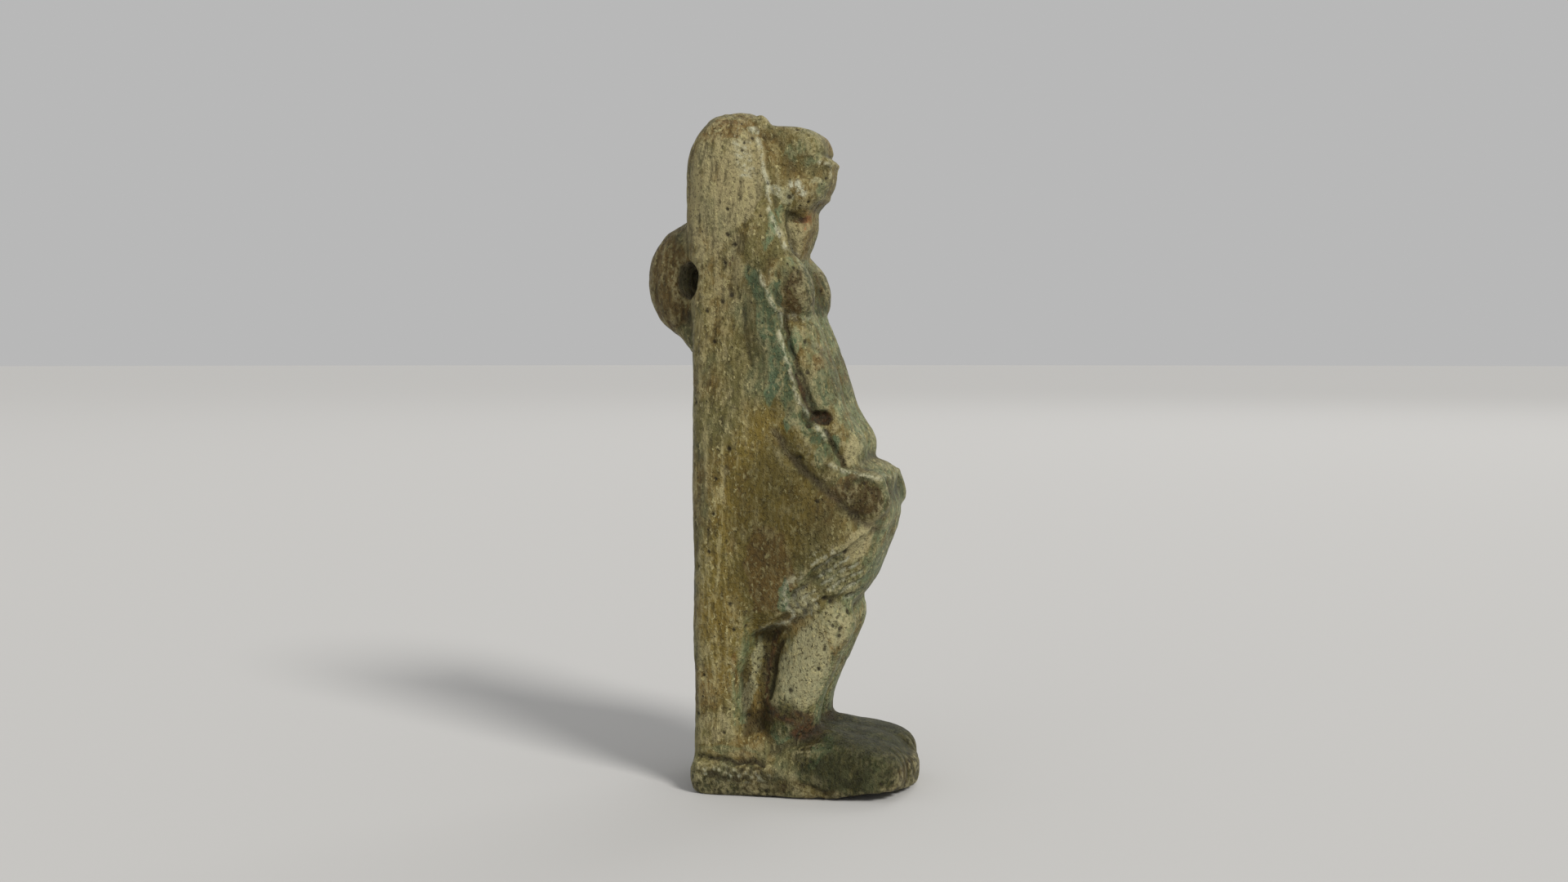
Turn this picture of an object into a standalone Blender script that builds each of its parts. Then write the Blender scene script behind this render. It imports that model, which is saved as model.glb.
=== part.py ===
"""A moulded faience amulet: a standing goddess with a hippopotamus head, a heavy belly and hanging
breasts, her arms down her sides. The figure, its base and the threading loop on its back are one solid.

Lengths are in metres. The figure faces -Y, its left side is +X, and Z is up. The origin is the middle
of the base's underside. The figure's own forms are given in parts: one part is a fifty-seventh of the
figure's height above its base, which is one millimetre at the true size."""

import bmesh
import bpy
import numpy as np
from math import cos, pi, radians, sin
from mathutils import Euler, Matrix, Vector

# Sizes that can be set by themselves
FIGURE_HEIGHT = 0.0570
BASE_LENGTH = 0.0196
BASE_WIDTH = 0.0140
BASE_THICKNESS = 0.0030
BASE_FRONT_RADIUS = 0.0066
LOOP_HOLE_WIDTH = 0.0025
LOOP_HOLE_HEIGHT = 0.0034
LOOP_WALL = 0.0033
LOOP_THICKNESS = 0.0076

# How finely the clay is fused and then thinned out
FIGURE_PARTS = 57.0
PART = FIGURE_HEIGHT / FIGURE_PARTS
FUSING_VOXEL = 0.28 * PART
SMOOTHING_ROUNDS = 5
FACE_BUDGET = 9600
SUNK = 0.8

# Where the back of the figure and the middle of the loop's hole are, in parts
BACK = -10.0
HOLE_FORWARD = -10.25
HOLE_UP = 42.15

# The loop was pierced from both sides at a slant: how far forward the two bores meet, and how narrow
HOLE_BEND = 1.3
HOLE_WAIST = 0.75

GLAZE_COLOUR = (0.115, 0.100, 0.052, 1.0)


def clear_scene():
    for old in list(bpy.data.objects):
        bpy.data.objects.remove(old, do_unlink=True)


def place(side, forward, up):
    """A point of the figure: parts to its left, parts forward and parts above the base."""
    return Vector((side * PART, -forward * PART, BASE_THICKNESS + up * PART))


def new_object(name, mesh, collection):
    made = bpy.data.objects.new(name, mesh)
    collection.objects.link(made)
    return made


class Clay:
    """Closed lumps, which may overlap, gathered into one mesh before they are fused."""

    def __init__(self):
        self.points = []
        self.faces = []

    def add(self, points, faces):
        first = len(self.points)
        self.points.extend(points)
        self.faces.extend([[first + k for k in face] for face in faces])

    def add_skin(self, rings):
        """Joins rings of points, all of one length, into a closed skin with a flat cap at each end."""
        count = len(rings[0])
        faces = [list(range(count))[::-1]]
        for row in range(len(rings) - 1):
            low, high = row * count, (row + 1) * count
            for k in range(count):
                n = (k + 1) % count
                faces.append([low + k, low + n, high + n, high + k])
        top = (len(rings) - 1) * count
        faces.append([top + k for k in range(count)])
        self.add([point for ring in rings for point in ring], faces)

    def mesh(self, name):
        made = bpy.data.meshes.new(name)
        made.from_pydata(self.points, [], self.faces)
        return made


def unit_ball():
    """One round ball, made once: its points and its faces."""
    made = bmesh.new()
    bmesh.ops.create_uvsphere(made, u_segments=36, v_segments=20, radius=1.0)
    made.verts.index_update()
    points = [vert.co.copy() for vert in made.verts]
    faces = [[vert.index for vert in face.verts] for face in made.faces]
    made.free()
    return points, faces


BALL_POINTS, BALL_FACES = unit_ball()


def ball(clay, middle, radii, tilt=0.0, squareness=1.0, spin=0.0):
    """An ellipsoid, given as (side, forward, up), that leans forward by tilt degrees.
    A squareness under 1 turns it into a block with round edges."""
    turn = Euler((radians(tilt), 0.0, radians(spin))).to_matrix()
    centre = place(*middle)
    points = []
    for co in BALL_POINTS:
        swelled = [abs(c) ** squareness * (1 if c >= 0 else -1) for c in co]
        local = Vector([c * r * PART for c, r in zip(swelled, radii)])
        points.append(centre + turn @ local)
    clay.add(points, BALL_FACES)


def both_sides(clay, middle, radii, spin=0.0, **shape):
    side, forward, up = middle
    ball(clay, (side, forward, up), radii, spin=spin, **shape)
    ball(clay, (-side, forward, up), radii, spin=-spin, **shape)


def smooth_rows(rows, count):
    """Rows of numbers, read at count even steps along a smooth curve through them (Catmull-Rom)."""
    rows = np.array(rows, float)
    padded = np.vstack([2 * rows[0] - rows[1], rows, 2 * rows[-1] - rows[-2]])
    steps = np.linspace(0, len(rows) - 1, count)
    found = []
    for step in steps:
        k = min(int(step), len(rows) - 2)
        t = step - k
        a, b, c, d = padded[k : k + 4]
        found.append(
            0.5
            * (2 * b + (c - a) * t + (2 * a - 5 * b + 4 * c - d) * t**2 + (3 * b - a - 3 * c + d) * t**3)
        )
    return np.array(found)


def roll(clay, stations, width=1.0):
    """A limb on each side: a round tube along a smooth curve, with a ball at both ends. Each station is
    side, forward, up and radius; width is how much wider the tube is across than from front to back."""
    rows = smooth_rows(stations, 6 * len(stations))
    for flip in (1, -1):
        spine = [Vector((side * flip, forward, up)) for side, forward, up, _ in rows]
        rings = []
        for k, (middle, row) in enumerate(zip(spine, rows)):
            run = (spine[min(k + 1, len(spine) - 1)] - spine[max(k - 1, 0)]).normalized()
            across = (Vector((1, 0, 0)) - run * run.x).normalized()
            over = run.cross(across)
            ring = []
            for step in range(24):
                angle = 2 * pi * step / 24
                out = across * cos(angle) * width + over * sin(angle)
                ring.append(place(*(middle + out * row[3])))
            rings.append(ring)
        clay.add_skin(rings)
        for end in (0, -1):
            radius = rows[end][3]
            ball(clay, spine[end], (radius * width, radius, radius))


def loft(clay, rows, squareness, sides=40, rings=44, middle=0.0):
    """A closed skin over level sections. Each row is up, back, front and half width; a squareness
    under 1 gives a section with fuller corners."""
    skins = []
    for up, back, front, half_width in smooth_rows(rows, rings):
        ring = []
        for k in range(sides):
            angle = 2 * pi * k / sides
            along, across = cos(angle), sin(angle)
            along = abs(along) ** squareness * (1 if along >= 0 else -1)
            across = abs(across) ** squareness * (1 if across >= 0 else -1)
            forward = (front + back) / 2 + along * (front - back) / 2
            ring.append(place(middle + across * half_width, forward, up))
        skins.append(ring)
    clay.add_skin(skins)


def model_back(clay):
    """The slab of long hair that runs down the back from the wig to the base."""
    rows = [
        (-SUNK, BACK + 0.1, -4.4, 6.5),
        (1.2, BACK + 0.1, -4.6, 6.3),
        (4.0, BACK + 0.1, -5.0, 6.1),
        (7.0, BACK + 0.1, -5.2, 6.2),
        (9.5, BACK + 0.05, -4.6, 6.5),
        (12.5, BACK, -3.6, 6.8),
        (20.0, BACK, -2.5, 6.95),
        (34.0, BACK - 0.05, -3.0, 6.75),
        (44.0, BACK - 0.4, -4.0, 6.0),
        (48.0, BACK - 0.7, -5.0, 5.7),
    ]
    loft(clay, rows, 0.5)


def model_body(clay):
    """Chest, flanks and the belly that swells forward over the thighs."""
    flanks = [
        (11.4, -9.0, 1.8, 5.2),
        (13.0, -9.2, 3.6, 6.2),
        (15.5, -9.3, 5.7, 6.9),
        (19.0, -9.3, 7.2, 7.3),
        (22.5, -9.3, 7.85, 7.4),
        (25.5, -9.3, 6.0, 7.35),
        (29.0, -9.3, 3.4, 7.3),
        (33.0, -9.3, 1.8, 7.1),
        (38.0, -9.4, -0.2, 6.7),
        (42.0, -9.5, -1.6, 6.2),
        (45.0, -9.6, -2.4, 5.5),
    ]
    loft(clay, flanks, 0.6)
    both_sides(clay, (4.6, -2.9, 39.5), (2.4, 2.2, 5.6), tilt=8)
    both_sides(clay, (4.6, -3.9, 44.4), (1.85, 2.8, 5.0))
    ball(clay, (0, 2.9, 21.7), (6.3, 5.1, 4.6), tilt=8)
    ball(clay, (0, 4.6, 24.6), (4.7, 3.1, 1.8), squareness=0.8)


def model_breasts(clay):
    """Two long breasts that hang onto the belly."""
    stations = [
        (2.4, -1.3, 39.2, 1.9),
        (2.6, -0.4, 36.2, 2.3),
        (2.7, 0.6, 33.0, 2.4),
        (2.7, 1.4, 30.0, 2.5),
        (2.6, 3.1, 27.5, 2.4),
    ]
    roll(clay, stations, width=1.45)


def model_arms(clay):
    """Arms down the sides, bent forward so that each hand lies on the belly."""
    stations = [
        (4.6, -4.8, 43.0, 1.8),
        (5.1, -3.6, 40.0, 1.85),
        (5.5, -2.7, 36.0, 1.75),
        (5.8, -1.3, 32.2, 1.6),
        (5.9, 0.4, 28.4, 1.5),
        (5.8, 2.1, 25.4, 1.5),
        (5.5, 4.0, 23.4, 1.6),
    ]
    roll(clay, stations)
    both_sides(clay, (5.0, 4.75, 23.1), (1.9, 3.1, 2.2), tilt=-16, squareness=0.6)


def model_wig(clay):
    """The heavy wig: a dome, with a lappet that comes forward over each shoulder onto the chest."""
    dome = [
        (42.0, -10.0, -2.4, 5.6),
        (45.0, -10.6, -1.9, 6.0),
        (47.0, -10.8, -2.3, 6.1),
        (49.0, -10.9, -2.8, 6.15),
        (52.0, -10.8, -3.3, 6.1),
        (54.0, -10.3, -3.6, 5.8),
        (55.3, -9.6, -3.6, 5.2),
        (56.2, -8.9, -4.1, 4.1),
        (56.75, -8.0, -4.8, 2.9),
        (57.0, -7.3, -5.6, 1.6),
    ]
    loft(clay, dome, 0.66)
    lappet = [
        (4.0, -4.8, 49.0, 1.2),
        (4.1, -3.9, 46.5, 1.35),
        (4.1, -3.1, 44.8, 1.4),
        (4.0, -2.0, 43.6, 1.4),
        (4.0, -1.1, 42.3, 1.6),
        (4.0, -0.6, 41.0, 1.65),
        (3.9, -0.5, 40.1, 1.5),
    ]
    roll(clay, lappet, width=1.25)


def model_head(clay):
    """The hippopotamus head, much worn: from the brow down over the snout, the mouth and the jaw, with
    two small ears."""
    face = [
        (55.8, -6.0, -2.0, 1.8),
        (55.45, -6.0, 0.0, 2.9),
        (54.9, -6.0, 1.15, 3.2),
        (54.1, -6.0, 1.45, 3.2),
        (53.5, -6.0, 1.35, 3.0),
        (52.9, -6.0, 2.1, 2.9),
        (51.6, -6.0, 2.3, 3.0),
        (50.2, -6.0, 1.95, 3.1),
        (49.2, -6.0, 1.25, 3.2),
        (48.4, -6.0, 0.35, 3.1),
        (47.5, -6.0, 0.5, 3.1),
        (46.4, -6.0, 0.3, 3.2),
        (45.2, -6.0, -0.1, 3.2),
        (44.2, -6.0, -0.5, 3.2),
        (42.0, -6.0, -0.7, 3.4),
        (40.0, -6.0, -0.9, 3.8),
    ]
    loft(clay, face, 0.52, rings=80)
    both_sides(clay, (1.9, -0.4, 53.3), (1.8, 2.0, 1.9), squareness=0.8)
    both_sides(clay, (2.2, -1.3, 50.0), (1.6, 2.2, 1.9), squareness=0.8)
    both_sides(clay, (3.35, -3.9, 55.4), (0.95, 0.95, 1.15), tilt=6)
    both_sides(clay, (3.3, -3.3, 50.6), (1.7, 1.9, 4.6), tilt=-10)


def model_legs(clay):
    """Short thighs under the belly, straight lower legs, and long feet set side by side."""
    both_sides(clay, (3.4, 0.7, 14.4), (3.0, 3.7, 3.6), tilt=24)
    shin = [
        (1.0, -3.6, 1.4, 2.8),
        (4.0, -3.6, 1.4, 2.7),
        (6.5, -3.5, 2.2, 2.8),
        (9.5, -3.2, 3.6, 2.95),
        (12.0, -2.8, 4.6, 3.0),
        (14.0, -1.8, 4.0, 3.0),
    ]
    for side in (1, -1):
        loft(clay, shin, 0.7, middle=side * 3.0)
    web = [(-SUNK, -6.0, 0.0, 4.7), (6.0, -6.0, 0.0, 4.5), (13.5, -6.0, 1.5, 4.8)]
    loft(clay, web, 0.6, rings=12)
    foot = [
        (3.1, -1.3, 0.0, 2.2),
        (3.1, 1.2, 0.5, 2.2),
        (3.2, 3.8, -0.1, 2.2),
        (3.1, 7.1, -0.5, 2.0),
    ]
    roll(clay, foot, width=1.5)
    both_sides(clay, (3.4, 3.4, -0.7), (3.5, 5.7, 2.7), tilt=7, squareness=0.6)
    ball(clay, (0, 3.2, -0.7), (2.2, 5.6, 2.9), tilt=7, squareness=0.6)
    both_sides(clay, (4.4, -3.4, 0.2), (1.7, 2.4, 2.3))


def model_loop(clay):
    """The threading loop: an upright disc that stands out of the back at the level of the neck."""
    hole = place(0, HOLE_FORWARD, HOLE_UP)
    half_long = LOOP_HOLE_WIDTH / 2 + LOOP_WALL
    half_high = LOOP_HOLE_HEIGHT / 2 + LOOP_WALL * 1.1
    points = []
    for x, y, z in BALL_POINTS:
        rim = max(0.0, 1 - y * y - z * z) ** 0.28
        across = LOOP_THICKNESS / 2 * rim * (1 if x >= 0 else -1)
        points.append(hole + Vector((across, y * half_long, z * half_high)))
    clay.add(points, BALL_FACES)
    root = [
        (HOLE_UP - 7.1, BACK - 0.1, BACK + 1.5, 2.4),
        (HOLE_UP - 5.2, BACK - 1.6, BACK + 1.5, 2.9),
        (HOLE_UP - 2.0, BACK - 2.6, BACK + 1.5, 3.3),
        (HOLE_UP + 3.0, BACK - 2.2, BACK + 1.5, 3.3),
        (HOLE_UP + 5.6, BACK - 0.9, BACK + 1.5, 2.8),
    ]
    loft(clay, root, 0.8, rings=20)


def base_outline(inset):
    """The base seen from above, as (x, y) points: square at the back, with round corners at the front."""
    half_wide, half_long = BASE_WIDTH / 2 - inset, BASE_LENGTH / 2 - inset
    back_radius = BASE_FRONT_RADIUS / 5
    corners = [
        (half_wide, -half_long, BASE_FRONT_RADIUS, -90),
        (half_wide, half_long, back_radius, 0),
        (-half_wide, half_long, back_radius, 90),
        (-half_wide, -half_long, BASE_FRONT_RADIUS, 180),
    ]
    outline = []
    for x, y, radius, start in corners:
        middle_x = x - radius * (1 if x > 0 else -1)
        middle_y = y - radius * (1 if y > 0 else -1)
        for k in range(9):
            angle = radians(start + 90 * k / 8)
            outline.append((middle_x + radius * cos(angle), middle_y + radius * sin(angle)))
    return outline


def model_base(clay):
    """The low base, with edges that were rounded by wear. It is sunk a little below its underside, which
    a cut makes flat later. Each step of its side is a share of the thickness and an inset in parts."""
    side_steps = [(-0.4, 0.7), (0.0, 0.4), (0.12, 0.15), (0.35, 0.0), (0.75, 0.0), (1.0, 0.3)]
    rings = []
    for share, inset in side_steps:
        height = share * BASE_THICKNESS
        rings.append([Vector((x, y, height)) for x, y in base_outline(inset * PART)])
    clay.add_skin(rings)


def fuse(clay_object):
    """Fuses overlapping lumps into one skin, softens it and returns the mesh."""
    remesh = clay_object.modifiers.new("fuse", "REMESH")
    remesh.mode = "VOXEL"
    remesh.voxel_size = FUSING_VOXEL
    soften = clay_object.modifiers.new("soften", "SMOOTH")
    soften.factor = 0.5
    soften.iterations = SMOOTHING_ROUNDS
    graph = bpy.context.evaluated_depsgraph_get()
    return bpy.data.meshes.new_from_object(clay_object.evaluated_get(graph))


def distance_to_line(points, line):
    """How far points in the side view (forward, up) are from a line through stations."""
    stations = np.array(line, float)
    nearest = np.full(len(points), np.inf)
    for a, b in zip(stations, stations[1:]):
        run = b - a
        t = np.clip(((points - a) @ run) / (run @ run), 0, 1)
        nearest = np.minimum(nearest, np.linalg.norm(points - a - t[:, None] * run, axis=1))
    return nearest


# Grooves seen from the side, the same on both sides: line of (forward, up), half width, depth
GROOVES = {
    "wig edge": ([(-3.4, 54.6), (-2.9, 51.6), (-2.2, 48.0), (-1.5, 45.6), (-0.3, 43.6)], 0.35, 0.35),
    "lappet end": ([(1.7, 41.0), (1.4, 39.3), (0.2, 38.4), (-1.1, 39.0), (-2.1, 41.0)], 0.30, 0.35),
    "inside of arm": ([(-1.5, 39.2), (-1.0, 37.1), (-0.1, 34.2), (0.5, 32.4), (1.2, 30.6)], 0.28, 0.45),
    "arm pit": ([(1.2, 30.5), (2.2, 30.2)], 0.65, 0.75),
    "under breast": ([(2.1, 30.0), (2.6, 29.2), (3.2, 27.8), (3.9, 26.3)], 0.26, 0.30),
    "under forearm": ([(-2.4, 31.4), (-0.7, 27.8), (0.8, 25.2), (2.9, 23.2), (6.4, 20.6)], 0.50, 0.18),
    "top of hand": ([(2.4, 25.8), (4.9, 25.7), (7.1, 25.4)], 0.35, 0.35),
    "brow": ([(-2.4, 52.2), (-1.1, 51.9), (1.8, 51.6)], 0.45, 0.15),
    "mouth": ([(-1.4, 47.7), (-0.6, 47.6), (1.0, 47.4)], 0.42, 0.45),
    "ankle": ([(-2.1, 1.2), (-0.2, 1.9), (1.5, 2.6), (3.1, 3.2)], 0.55, 0.50),
    "base top": ([(-9.0, 0.15), (-6.2, 0.05), (-3.1, -0.15)], 0.25, 0.25),
}

# Edges of raised areas, seen from the side: below the line the skin is set in by the depth
STEPS = {
    "skirt of the belly": (
        [(-4.4, 11.0), (-2.4, 12.2), (-1.3, 13.4), (-0.8, 14.9), (0.4, 16.3), (1.6, 17.6), (7.0, 21.0)],
        0.8,
        0.70,
    ),
    "hem": (
        [(-4.4, 11.2), (-2.5, 11.8), (-0.9, 12.0), (0.5, 13.2), (1.8, 14.1), (3.1, 14.5), (6.0, 14.0)],
        0.4,
        0.35,
    ),
}


def carve(mesh):
    """Presses the grooves into the fused skin, and takes off the base's broken front corner."""
    count = len(mesh.vertices)
    co = np.empty(count * 3, np.float32)
    normal = np.empty(count * 3, np.float32)
    mesh.vertices.foreach_get("co", co)
    mesh.vertices.foreach_get("normal", normal)
    co, normal = co.reshape(-1, 3).astype(float), normal.reshape(-1, 3).astype(float)
    side = co[:, 0] / PART
    seen = np.stack([-co[:, 1] / PART, (co[:, 2] - BASE_THICKNESS) / PART], axis=1)
    faces_side = np.clip(np.abs(normal[:, 0]) * 1.6, 0, 1) * (np.abs(side) > 1.2)
    depth = np.zeros(count)
    for line, half_width, deep in GROOVES.values():
        near = np.exp(-((distance_to_line(seen, line) / half_width) ** 2))
        depth = np.maximum(depth, deep * near)
    for line, soft, deep in STEPS.values():
        edge_up = np.interp(seen[:, 0], *np.array(line, float).T)
        below = np.clip((edge_up - seen[:, 1]) / soft, 0, 1)
        low_end = np.clip((seen[:, 1] - edge_up + 7.0) / 4.0, 0, 1)
        in_front = np.clip((seen[:, 0] - line[0][0]) / 1.0, 0, 1)
        depth += deep * below * below * (3 - 2 * below) * low_end * in_front
    co -= normal * (depth * faces_side * PART)[:, None]
    mesh.vertices.foreach_set("co", co.astype(np.float32).ravel())
    mesh.update()


def block_cutter(name, size, middle, collection):
    bpy.ops.mesh.primitive_cube_add(size=1.0, location=middle)
    made = bpy.context.active_object
    made.name = name
    made.data.transform(Matrix.Diagonal((*size, 1.0)))
    return as_cutter(made, collection)


def as_cutter(made, collection):
    for holder in list(made.users_collection):
        holder.objects.unlink(made)
    collection.objects.link(made)
    made.hide_render = True
    made.display_type = "WIRE"
    return made


def hole_cutter(collection):
    """The loop's oval hole: two bores, one from each side, that slant forward and meet in the middle."""
    stations = [
        (-4 * LOOP_THICKNESS, 0.0, 1.0),
        (-LOOP_THICKNESS / 2, 0.0, 1.0),
        (0.0, HOLE_BEND * PART, HOLE_WAIST),
        (LOOP_THICKNESS / 2, 0.0, 1.0),
        (4 * LOOP_THICKNESS, 0.0, 1.0),
    ]
    middle = place(0, HOLE_FORWARD, HOLE_UP)
    rings = []
    for x, shift, share in stations:
        ring = []
        for k in range(28):
            angle = 2 * pi * k / 28
            y = cos(angle) * share * LOOP_HOLE_WIDTH / 2 - shift
            z = sin(angle) * share * LOOP_HOLE_HEIGHT / 2
            ring.append(middle + Vector((x, y, z)))
        rings.append(ring)
    bore = Clay()
    bore.add_skin(rings)
    return as_cutter(new_object("loop_hole_cutter", bore.mesh("loop_hole_cutter"), collection), collection)


def chip_cutter(collection):
    """The broken corner under the right toes: a block below the plane through three points."""
    start, toe, under = place(-7.2, 1.6, -3.0), place(-5.0, 9.5, -2.0), place(-1.5, 6.4, -3.15)
    normal = (toe - start).cross(under - start).normalized()
    if normal.z < 0:
        normal = -normal
    size = BASE_LENGTH
    along = (toe - start).normalized()
    across = normal.cross(along)
    turn = Matrix((along, across, normal)).transposed().to_4x4()
    made = block_cutter("chip_cutter", (size, size, size), (0, 0, 0), collection)
    middle = start + along * size * 0.42 - normal * size / 2
    made.data.transform(Matrix.Translation(middle) @ turn)
    return made


def glaze_material():
    material = bpy.data.materials.new("faience_glaze")
    material.use_nodes = True
    shader = material.node_tree.nodes["Principled BSDF"]
    shader.inputs["Base Color"].default_value = GLAZE_COLOUR
    shader.inputs["Roughness"].default_value = 0.62
    shader.inputs["Metallic"].default_value = 0.0
    return material


def thin_out(mesh, collection):
    """Cuts the number of triangles, keeping them where the surface bends most."""
    holder = new_object("dense", mesh, collection)
    mesh.calc_loop_triangles()
    thin = holder.modifiers.new("thin", "DECIMATE")
    thin.ratio = min(1.0, FACE_BUDGET / len(mesh.loop_triangles))
    thin.use_collapse_triangulate = True
    graph = bpy.context.evaluated_depsgraph_get()
    thinned = bpy.data.meshes.new_from_object(holder.evaluated_get(graph))
    bpy.data.objects.remove(holder)
    return thinned


def cut(made, cutter):
    boolean = made.modifiers.new(cutter.name, "BOOLEAN")
    boolean.operation = "DIFFERENCE"
    boolean.object = cutter


def main():
    clear_scene()
    scene_root = bpy.context.scene.collection
    parts = bpy.data.collections.new("hippopotamus_amulet")
    cutters = bpy.data.collections.new("cutters")
    scene_root.children.link(parts)
    scene_root.children.link(cutters)

    clay = Clay()
    for model in (
        model_base,
        model_back,
        model_body,
        model_breasts,
        model_arms,
        model_wig,
        model_head,
        model_legs,
        model_loop,
    ):
        model(clay)
    lump_object = new_object("lumps", clay.mesh("lumps"), parts)
    fused = fuse(lump_object)
    bpy.data.objects.remove(lump_object)
    carve(fused)
    figurine = new_object("figurine", thin_out(fused, parts), parts)
    figurine.data.materials.clear()
    figurine.data.materials.append(glaze_material())

    reach = 4 * BASE_LENGTH
    depth = BASE_THICKNESS * 2
    cut(figurine, block_cutter("underside_cutter", (reach, reach, depth), (0, 0, -depth / 2), cutters))
    cut(figurine, chip_cutter(cutters))
    cut(figurine, hole_cutter(cutters))
    figurine.data.shade_smooth()


main()
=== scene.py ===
# %% [markdown]
# # A moulded faience amulet
#
# Faience is crushed quartz, pressed wet into a clay mould and fired until a thin glaze forms on its
# skin. This amulet, a standing goddess with a hippopotamus head, has lost most of its shine: the
# glaze is matt, pitted with pinholes, pale where it is rubbed and stained red-brown in its hollows.
#
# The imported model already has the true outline, pose and main carving. This lesson keeps that form,
# gives it a skin fine enough to hold pits and hair lines, and then glazes it.

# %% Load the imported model
from math import cos, pi, radians, sin, tan

import bpy
import numpy as np
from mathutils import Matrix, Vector, kdtree, noise


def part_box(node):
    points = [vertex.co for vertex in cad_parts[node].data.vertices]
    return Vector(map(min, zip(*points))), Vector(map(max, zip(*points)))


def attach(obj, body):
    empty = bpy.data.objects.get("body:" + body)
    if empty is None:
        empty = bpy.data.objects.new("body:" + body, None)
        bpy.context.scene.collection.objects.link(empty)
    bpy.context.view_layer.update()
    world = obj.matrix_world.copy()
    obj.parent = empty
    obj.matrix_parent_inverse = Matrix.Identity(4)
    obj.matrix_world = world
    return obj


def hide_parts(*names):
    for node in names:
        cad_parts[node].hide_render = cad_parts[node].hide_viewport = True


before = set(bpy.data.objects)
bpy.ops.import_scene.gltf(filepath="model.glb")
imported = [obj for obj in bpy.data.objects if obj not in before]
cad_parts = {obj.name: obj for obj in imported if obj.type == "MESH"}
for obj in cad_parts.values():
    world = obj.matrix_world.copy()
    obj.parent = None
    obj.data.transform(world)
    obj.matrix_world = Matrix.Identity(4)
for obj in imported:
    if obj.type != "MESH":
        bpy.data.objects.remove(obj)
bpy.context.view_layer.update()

scene = bpy.context.scene
low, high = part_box("figurine")
print("height in mm", round((high.z - low.z) * 1000, 2))

# %% [markdown]
# ## The camera
#
# A photograph is matched by placing the camera where the photographer's was. Here it looks at the
# figure's right side, turned a little towards the front, from just above the middle. The lens is
# given by the height of the view, which is 30 degrees, and the distance by how strongly the near
# side looms over the far side.

# %% Place the camera
VIEW_HEIGHT = radians(30.0)
TURN_TO_FRONT = radians(12.0)
CAMERA_RISE = radians(3.0)
CAMERA_DISTANCE = 0.14825
LOOK_AT = Vector((0.0, 0.00255, 0.0308))
IMAGE_WIDTH, IMAGE_HEIGHT = 1920, 1080
SENSOR_WIDTH = 36.0
NEAREST_SHOWN = 0.005

camera_data = bpy.data.cameras.new("camera")
camera_data.sensor_width = SENSOR_WIDTH
camera_data.lens = SENSOR_WIDTH / 2 / (tan(VIEW_HEIGHT / 2) * IMAGE_WIDTH / IMAGE_HEIGHT)
camera_data.clip_start = NEAREST_SHOWN
camera = bpy.data.objects.new("camera", camera_data)
scene.collection.objects.link(camera)
away = Vector((
    -cos(TURN_TO_FRONT) * cos(CAMERA_RISE),
    -sin(TURN_TO_FRONT) * cos(CAMERA_RISE),
    sin(CAMERA_RISE),
))
camera.location = LOOK_AT + away * CAMERA_DISTANCE
camera.rotation_euler = away.to_track_quat("Z", "Y").to_euler()
scene.camera = camera
print("lens in mm", round(camera_data.lens, 2))

# %% [markdown]
# ## The floor
#
# The amulet stands on a plain pale floor, wide enough that its edge is never seen. A matt finish
# keeps reflections out of it.

# %% Lay the floor
FLOOR_COLOUR = (0.52, 0.515, 0.505, 1.0)
FLOOR_ROUGHNESS = 0.85
FLOOR_RADIUS = 6.0

bpy.ops.mesh.primitive_circle_add(vertices=96, radius=FLOOR_RADIUS, fill_type="NGON")
floor = bpy.context.active_object
floor.name = "floor"
floor_material = bpy.data.materials.new("pale_floor")
floor_material.use_nodes = True
floor_shader = floor_material.node_tree.nodes["Principled BSDF"]
floor_shader.inputs["Base Color"].default_value = FLOOR_COLOUR
floor_shader.inputs["Roughness"].default_value = FLOOR_ROUGHNESS
floor.data.materials.append(floor_material)
print("floor at height", round(floor.location.z, 4))

# %% [markdown]
# ## The key light
#
# A small dark object shows its relief best when a soft light grazes it. The key comes from above
# and in front of the figure. A sun lamp lights the whole floor evenly, which keeps the line where
# floor meets backdrop faint, and a wide spread gives it the soft shadows of a large studio lamp.

# %% Hang the key light
KEY_FROM = Vector((-0.24, -0.30, 0.34))
KEY_STRENGTH = 2.6
KEY_SPREAD = radians(16)
WARM_WHITE = (1.0, 0.98, 0.94)

key_data = bpy.data.lights.new("key", "SUN")
key_data.energy = KEY_STRENGTH
key_data.angle = KEY_SPREAD
key_data.color = WARM_WHITE
key = bpy.data.objects.new("key", key_data)
key.location = KEY_FROM
key.rotation_euler = (KEY_FROM - LOOK_AT).to_track_quat("Z", "Y").to_euler()
scene.collection.objects.link(key)
print("key spread in degrees", round(key_data.angle * 180 / pi, 1))

# %% [markdown]
# ## The fill, the rim and the surroundings
#
# A weak fill on the camera's side, towards the figure's back, opens the shadows there. A weak rim
# from above on the far side draws a thin light edge. Both stand well back, because a lamp close to
# the floor leaves a bright patch on it. White surroundings lighten everything a little more.


# %% Hang the fill and the rim
def soft_light(name, place, power, size, colour):
    """A square area light that faces the figure."""
    data = bpy.data.lights.new(name, "AREA")
    data.energy = power
    data.size = size
    data.color = colour
    made = bpy.data.objects.new(name, data)
    made.location = place
    made.rotation_euler = (Vector(place) - LOOK_AT).to_track_quat("Z", "Y").to_euler()
    scene.collection.objects.link(made)


COOL_WHITE = (0.97, 0.98, 1.0)
WHITE = (1.0, 1.0, 1.0)
SURROUND_STRENGTH = 0.48

soft_light("fill", (-1.26, 0.655, 0.298), 1.35, 0.90, COOL_WHITE)
soft_light("rim", (0.78, -0.305, 0.838), 1.80, 0.60, WHITE)

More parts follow.
